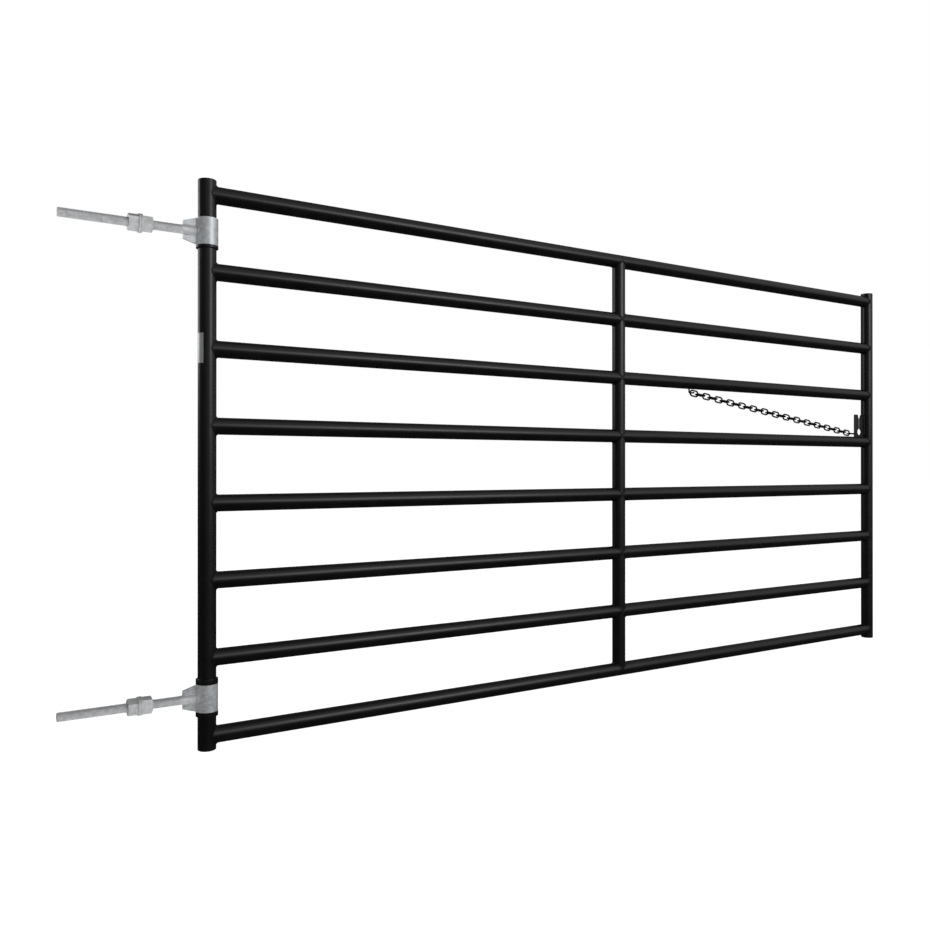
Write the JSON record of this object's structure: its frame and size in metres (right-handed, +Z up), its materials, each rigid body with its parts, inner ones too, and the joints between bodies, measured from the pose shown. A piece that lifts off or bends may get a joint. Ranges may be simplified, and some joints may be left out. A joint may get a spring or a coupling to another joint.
{
  "type": "tubular gate with chain latch",
  "caption": "Tubular steel yard gate with horizontal rails, a middle stay, adjustable post hinges, and a keyhole keeper with a latch chain.",
  "frame": {"origin": "on the swing axis at the foot of the hinge stile", "axes": "+X along the gate towards the latch stile, +Z up the swing axis, -Y towards the face seen in the caption picture"},
  "size_m": [3.4574, 0.061, 1.596],
  "materials": {
    "black_paint": "semi-gloss powder coat",
    "galvanised_steel": "galvanised, matt spangle",
    "zinc_fastener": "zinc plated",
    "chain_steel": "blackened, worn at the crowns",
    "plug_plastic": "moulded",
    "label_foil": "satin"
  },
  "bodies": {
    "upper_hinge": {"upper_barrel": "galvanised_steel", "upper_rod": "galvanised_steel", "upper_gusset_top": "galvanised_steel", "upper_gusset_bottom": "galvanised_steel"},
    "gate": {"hinge_stile": "black_paint", "hinge_stile_top_cap": "plug_plastic", "hinge_stile_bottom_cap": "plug_plastic", "latch_stile": "black_paint", "latch_stile_top_cap": "plug_plastic", "latch_stile_bottom_cap": "plug_plastic", "rail_1": "black_paint", "rail_2": "black_paint", "rail_3": "black_paint", "rail_4": "black_paint", "rail_5": "black_paint", "rail_6": "black_paint", "rail_7": "black_paint", "rail_8": "black_paint", "stay_1": "black_paint", "stay_2": "black_paint", "stay_3": "black_paint", "stay_4": "black_paint", "stay_5": "black_paint", "stay_6": "black_paint", "stay_7": "black_paint", "blank_label": "label_foil", "bearing_ring": "black_paint", "lower_stop_ring": "black_paint", "upper_stop_ring": "black_paint", "keyhole_keeper": "black_paint", "chain_weld_link": "chain_steel", "stow_peg": "black_paint"},
    "lower_hinge": {"lower_barrel": "galvanised_steel", "lower_rod": "galvanised_steel", "lower_gusset_top": "galvanised_steel", "lower_gusset_bottom": "galvanised_steel"},
    "upper_outer_nut_set": {"upper_outer_nut": "zinc_fastener", "upper_outer_washer": "zinc_fastener"},
    "upper_inner_nut_set": {"upper_inner_nut": "zinc_fastener", "upper_inner_washer": "zinc_fastener"},
    "lower_outer_nut_set": {"lower_outer_nut": "zinc_fastener", "lower_outer_washer": "zinc_fastener"},
    "lower_inner_nut_set": {"lower_inner_nut": "zinc_fastener", "lower_inner_washer": "zinc_fastener"},
    "chain_near": {"chain_links_1a": "chain_steel", "chain_links_1b": "chain_steel"},
    "chain_second": {"chain_links_2a": "chain_steel", "chain_links_2b": "chain_steel"},
    "chain_third": {"chain_links_3a": "chain_steel", "chain_links_3b": "chain_steel"},
    "chain_end": {"chain_links_4a": "chain_steel", "chain_end_link": "chain_steel"}
  },
  "joints": [
    {"name": "gate_swing", "type": "hinge", "parent": "upper_hinge", "child": "gate", "pos_m": [0, 0, 1.449], "axis": [0, 0, 1], "range_deg": [-150, 150]},
    {"name": "lower_hinge_turn", "type": "hinge", "parent": "gate", "child": "lower_hinge", "pos_m": [0, 0, 0.147], "axis": [0, 0, 1], "range_deg": [-150, 150]},
    {"name": "upper_outer_nut_travel", "type": "slide", "parent": "upper_hinge", "child": "upper_outer_nut_set", "axis": [-1, 0, 0], "range_m": [0, 0.16]},
    {"name": "upper_inner_nut_travel", "type": "slide", "parent": "upper_hinge", "child": "upper_inner_nut_set", "axis": [1, 0, 0], "range_m": [0, 0.079]},
    {"name": "lower_outer_nut_travel", "type": "slide", "parent": "lower_hinge", "child": "lower_outer_nut_set", "axis": [-1, 0, 0], "range_m": [0, 0.16]},
    {"name": "lower_inner_nut_travel", "type": "slide", "parent": "lower_hinge", "child": "lower_inner_nut_set", "axis": [1, 0, 0], "range_m": [0, 0.079]},
    {"name": "chain_near_swing", "type": "hinge", "parent": "gate", "child": "chain_near", "pos_m": [2.92005, 0, 0.94365], "axis": [0, 0, 1], "range_deg": [0, 140]},
    {"name": "chain_second_swing", "type": "hinge", "parent": "chain_near", "child": "chain_second", "pos_m": [2.64113, 0, 0.98241], "axis": [0, 0, 1], "range_deg": [0, 60]},
    {"name": "chain_third_swing", "type": "hinge", "parent": "chain_second", "child": "chain_third", "pos_m": [2.36221, 0, 1.02117], "axis": [0, 0, 1], "range_deg": [0, 60]},
    {"name": "chain_end_swing", "type": "hinge", "parent": "chain_third", "child": "chain_end", "pos_m": [2.08329, 0, 1.05993], "axis": [0, 0, 1], "range_deg": [0, 60]}
  ],
  "couplings": [
    {"joint": "lower_hinge_turn", "follows": "gate_swing", "ratio": -1}
  ]
}
